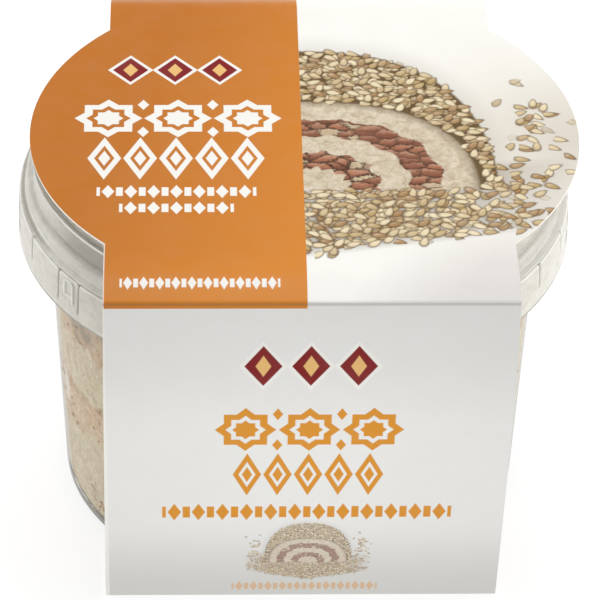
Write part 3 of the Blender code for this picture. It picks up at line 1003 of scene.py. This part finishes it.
def ribbons(steps, base, place):
    """Scalloped ribbons of paste and of nut filling inside the arch, on a soft shade.

    The nuts are the cells of a Voronoi pattern made ragged by noise, light on top and dark
    below, with dark cracks between them.
    """
    u, v, _ = steps.parts(place)
    outer, core = arch(u, v, *ARCH), arch(u, v, *CORE)
    turn = (v - ARCH_BASE + 0.001).turn(u.abs() + 0.001)
    grain = steps.noise(place, 0.45, 5.0, 0.7, 0.9)
    fine = steps.noise(place, 1.7, 3.0, 0.6)
    level = core + (turn * 18.0).sin() * 0.016 + (grain - 0.5) * 0.07
    paste = steps.coats((190, 172, 144), (grain.over(0.34, 0.62), (226, 213, 190)),
                        (fine.over(0.60, 0.74) * 0.5, (120, 98, 70)))
    rise = v * 0.44 + (grain - 0.5) * 1.2
    chopped = steps.vector(u * 0.26 + (fine - 0.5) * 0.7, rise)
    nut = steps.cells(chopped)
    spread, tilt, _ = steps.parts(nut["Color"])
    _, middle, _ = steps.parts(nut["Position"])
    top_lit = rise - middle
    crack = steps.field(steps.cells(chopped, "DISTANCE_TO_EDGE")["Distance"]).over(0.16, 0.02)
    nuts = steps.coats(
        (132, 80, 58),
        (spread, (178, 118, 88)),
        (top_lit.over(0.0, 0.4) * 0.5, (214, 168, 138)),
        (top_lit.over(-0.1, -0.5) * 0.6, (92, 52, 34)),
        (tilt.over(0.82, 0.85) * 0.75, (222, 204, 170)),
        (fine.over(0.5, 0.7) * 0.4, (106, 64, 44)),
        (crack * (spread + 0.35).least(1.0), (62, 38, 24)))
    ribbon = (level.over(0.60, 0.61) * level.over(0.80, 0.79)
              + level.over(0.24, 0.25) * level.over(0.43, 0.42))
    dark_rim = 104, 82, 48
    bands = steps.coats(paste, (ribbon, nuts), (core.over(0.93, 1.02) * 0.8, dark_rim))
    return steps.coats(
        base,
        (outer.soft(1.14, 0.96) * 0.22, (140, 122, 106)),
        (drift_share(u, v) * 0.55, (120, 94, 60)),
        (outer.over(1.0, 0.985), dark_rim),
        (core.over(1.01, 0.99), bands))


def picture_recipe():
    """The arch's ribbons under five layers of seeds, laid over a ground."""
    layer = recipe("seed_layer", ("tint", "place", "number", "number", "number"), "tint", seed_layer)
    band = recipe("ribbons", ("tint", "place"), "tint", ribbons)
    sizes = (3.2, 1.55), (3.0, 1.48), (3.2, 1.52), (2.9, 1.44), (3.3, 1.50)

    def whole(steps, base, place):
        base = steps.use(band, base, place)
        for number, (pitch, length) in enumerate(sizes, 1):
            base = steps.use(layer, base, place, pitch, length, number)
        return base

    return recipe("picture", ("tint", "place"), "tint", whole)


def field_rows(steps, place):
    """The orange field with its rows in white and its red lozenges."""
    u, v, _ = steps.parts(place)
    # painted light: the orange is lighter towards the right, lit from that side, and on the bend before
    # the front crease
    drift = u * 0.021 + v * -0.0062 + 1.10 + v.over(14.0, 0.0) * 0.35
    inked = steps.coats(ORANGE_DEEP, (drift.over(0.0, 1.0), ORANGE_LIGHT),
                        (all_rows(u, v, FIELD_ROWS), WHITE))
    return red_lozenges(steps, inked, u, v, -25.6, 76.6)


def panel_rows(steps, base, place):
    """Rows in orange and red lozenges on an upright panel; v is the height above the floor."""
    u, v, _ = steps.parts(place)
    tinted = steps.coats(base, (all_rows(u, v, PANEL_ROWS), FRONT_ORANGE),
                         (bead_row(u, v, 0.0, 3.1, 2.9, 10, 2.8) * 0.75, (222, 178, 128)))
    return red_lozenges(steps, tinted, u, v, 0.0, 64.4)


def printed_board():
    """Coated board: an orange field and a pale one on top, with rows of stars and lozenges,
    an arch of ribbons and seeds, and the same motifs in orange on the front and the back."""
    paint = Paint("printed_board")
    u, run, _ = paint.parts(paint.attribute("flat").outputs["Vector"])
    on_back = run.over(BACK_RUN - 0.05, BACK_RUN + 0.05)
    place = paint.vector(u, run)
    picture = picture_recipe()

    # pale ground, greyer and pinker beside the arch, then the arch and the orange field
    shade = u.over(6.0, 40.0) * (run - 50.0).abs().over(44.0, 8.8)
    rim = u.over(30.0, 50.0) * (run - 52.0).abs().over(26.0, 2.6)
    corner = (u + run * -0.7).over(6.0, 26.0) * run.over(24.0, 10.0)
    top = paint.coats((248, 247, 241), (shade, (238, 233, 222)), (rim * 0.7, (214, 205, 192)),
                      (corner * 0.85, (226, 221, 217)))
    ink = paint.use(recipe("field_rows", ("place",), "tint", field_rows), place)
    orange = (u - run * 0.0055).over(-0.85, -0.95)
    top = paint.mix(orange, paint.use(picture, top, place), ink)

    # front panel, and the back panel with the same print; the orange goes round the front crease
    height = (run + FRONT_CREASE_Z) * (1 - on_back) + (BACK_RUN + BACK_CREASE_Z - run) * on_back
    # painted shade: the panels are darker towards their foot, near the floor
    ground = paint.mix(height.soft(24.0, 3.0) * 0.9, (237, 236, 233), (215, 214, 210))
    side = paint.use(recipe("panel_rows", ("tint", "place"), "tint", panel_rows),
                     ground, paint.vector(u, height))
    small_place = paint.vector((u - 0.5) * SMALL_SCALE, (height - SMALL_BASE) * SMALL_SCALE + ARCH_BASE)
    side = paint.mix(0.78, side, paint.use(picture, side, small_place))
    on_top = run.over(-0.1, 0.1) * (1 - on_back)
    wrapped = run.over(-1.35, -1.25) * run.over(0.1, -0.1) * orange

    # a paler left edge below the disc, a painted shade line along the front crease and faint clouds
    neck = CREASE_Y - math.sqrt(DISC_R ** 2 - BAND_HALF ** 2)
    pale_edge = (u + BAND_HALF).over(0.26, 0.16) * run.over(neck, neck - 0.2)
    crease_shade = run.over(-0.12, -0.3) * run.over(-0.85, -0.6)
    mottle = paint.noise(place, 0.16, 3.0, 0.5)
    print_out = paint.coats(
        side,
        ((on_top + wrapped).least(1.0), top),
        (pale_edge * 0.7, (252, 249, 242)),
        (crease_shade * 0.3, (120, 96, 74)),
        (mottle.over(0.3, 0.7) * 0.04, (200, 190, 176)))
    paint.set(Base_Color=print_out, Specular_IOR_Level=0.14, Roughness=0.45)
    paint.bump(paint.noise(place, 1.3, 3.0, 0.6), 0.02, 0.25)
    return paint.material


def plain_board(name, tone, dark):
    """Uncoated board with short fibres."""
    paint = Paint(name)
    place = paint.object_place()
    fibre = paint.noise(place, 1400.0, 4.0, 0.7)
    cloud = paint.noise(place, 120.0, 3.0)
    base = paint.coats(tone, (fibre.over(0.4, 0.65), dark), (cloud.over(0.4, 0.7) * 0.3, dark))
    paint.set(Base_Color=base, Roughness=0.8, Specular_IOR_Level=0.2)
    paint.bump(fibre, 0.05, 0.4)
    return paint.material


# ---- camera, light and floor

def make_camera():
    """A long lens, high in front of the tub and a little to its left, slightly rolled."""
    lens = bpy.data.cameras.new("camera")
    lens.sensor_width = 36.0
    lens.lens = 219.551
    lens.clip_start, lens.clip_end = 0.05, 20.0
    camera = add_object("camera", lens)
    right = Vector((0.999497, -0.026417, 0.017536)).normalized()
    back = Vector((-0.031668, -0.804260, 0.593434)).normalized()
    up = back.cross(right).normalized()
    right = up.cross(back)
    place = Matrix((right, up, back)).transposed().to_4x4()
    place.translation = Vector((-22.525, -600.973, 482.402)) * MM
    camera.matrix_world = place
    bpy.context.scene.camera = camera


def make_lamp(name, kind, place, target, power, **settings):
    """A lamp of a kind at a place, facing a target."""
    lamp = bpy.data.lights.new(name, kind)
    lamp.energy = power
    for key, value in settings.items():
        setattr(lamp, key, value)
    holder = add_object(name, lamp)
    holder.location = place
    holder.rotation_euler = (Vector(target) - Vector(place)).to_track_quat("-Z", "Y").to_euler()


def make_lamps():
    """Soft boxes behind above, at the right and at the left, and two spots in front.

    Each spot is brightest on its target and fades to nothing 44 mm from it.
    """
    middle = 0.0, 0.0, 0.06
    for name, place, width, depth, power in (("key", (0.0, 0.40, 1.12), 0.7, 0.25, 6.3),
                                             ("right", (1.2, 0.15, 0.35), 0.7, 0.7, 10.0),
                                             ("left", (-1.2, 0.10, 0.35), 0.7, 0.7, 5.2)):
        make_lamp(name, "AREA", place, middle, power, shape="RECTANGLE", size=width, size_y=depth)
    for x in (-0.026, 0.026):
        place, target = Vector((x, -1.2, 0.36)), Vector((x, -0.055, 0.036))
        make_lamp("front", "SPOT", place, target, 15.0, spot_blend=1.0, shadow_soft_size=0.05,
                  spot_size=2 * math.atan(0.044 / (target - place).length))


def make_floor():
    """A wide, nearly white floor with a faint grain."""
    paint = Paint("floor")
    cloud = paint.noise(paint.object_place(), 6.0, 3.0)
    paint.set(Base_Color=paint.mix(cloud, (0.29, 0.29, 0.29), (0.31, 0.31, 0.31)), Roughness=0.9,
              Specular_IOR_Level=0.1, Emission_Color=(1.0, 1.0, 1.0), Emission_Strength=0.79)
    mesh = bpy.data.meshes.new("floor")
    reach = 3.0
    mesh.from_pydata([(-reach, -reach, 0), (reach, -reach, 0), (reach, reach, 0), (-reach, reach, 0)],
                     [], [(0, 1, 2, 3)])
    mesh.materials.append(paint.material)
    add_object("floor", mesh)


def make_world():
    """Even pale light from all round."""
    world = bpy.data.worlds.new("studio")
    world.use_nodes = True
    sky = world.node_tree.nodes["Background"]
    sky.inputs["Color"].default_value = (1.0, 1.0, 1.0, 1.0)
    sky.inputs["Strength"].default_value = 0.40
    bpy.context.scene.world = world


def own(piece, node):
    """The piece stands for a CAD node, which it hides, and moves with the one body."""
    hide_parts(node)
    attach(piece, "root")


bpy.context.scene.view_settings.view_transform = "Standard"
make_camera()
make_world()
make_floor()
make_lamps()

own(make_lid(lid_plastic()), "lid")
own(make_tub(tub_plastic()), "tub")
cake_colours = recipe("cake_tint", ("place", "number", "number"), "tint", cake_tint)
paste = cake_surface("halva_paste", cake_colours, 0.72)
filling = cake_surface("nut_filling", cake_colours, 0.55)
for number, (layer_name, look, slot) in enumerate((
        ("halva_bottom", paste, "halva"), ("filling_lower", filling, "filling"),
        ("halva_middle", paste, "halva"), ("filling_upper", filling, "filling"),
        ("halva_top", paste, "halva"))):
    own(make_layer(number, layer_name + "_layer", look), layer_name)
chips = make_chips(nut_meat())
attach(chips, "root")
sleeve = make_sleeve(printed_board(),
                     plain_board("board_inside", (206, 200, 190), (184, 176, 164)),
                     plain_board("board_edge", (244, 240, 232), (228, 221, 208)))
own(sleeve, "sleeve")
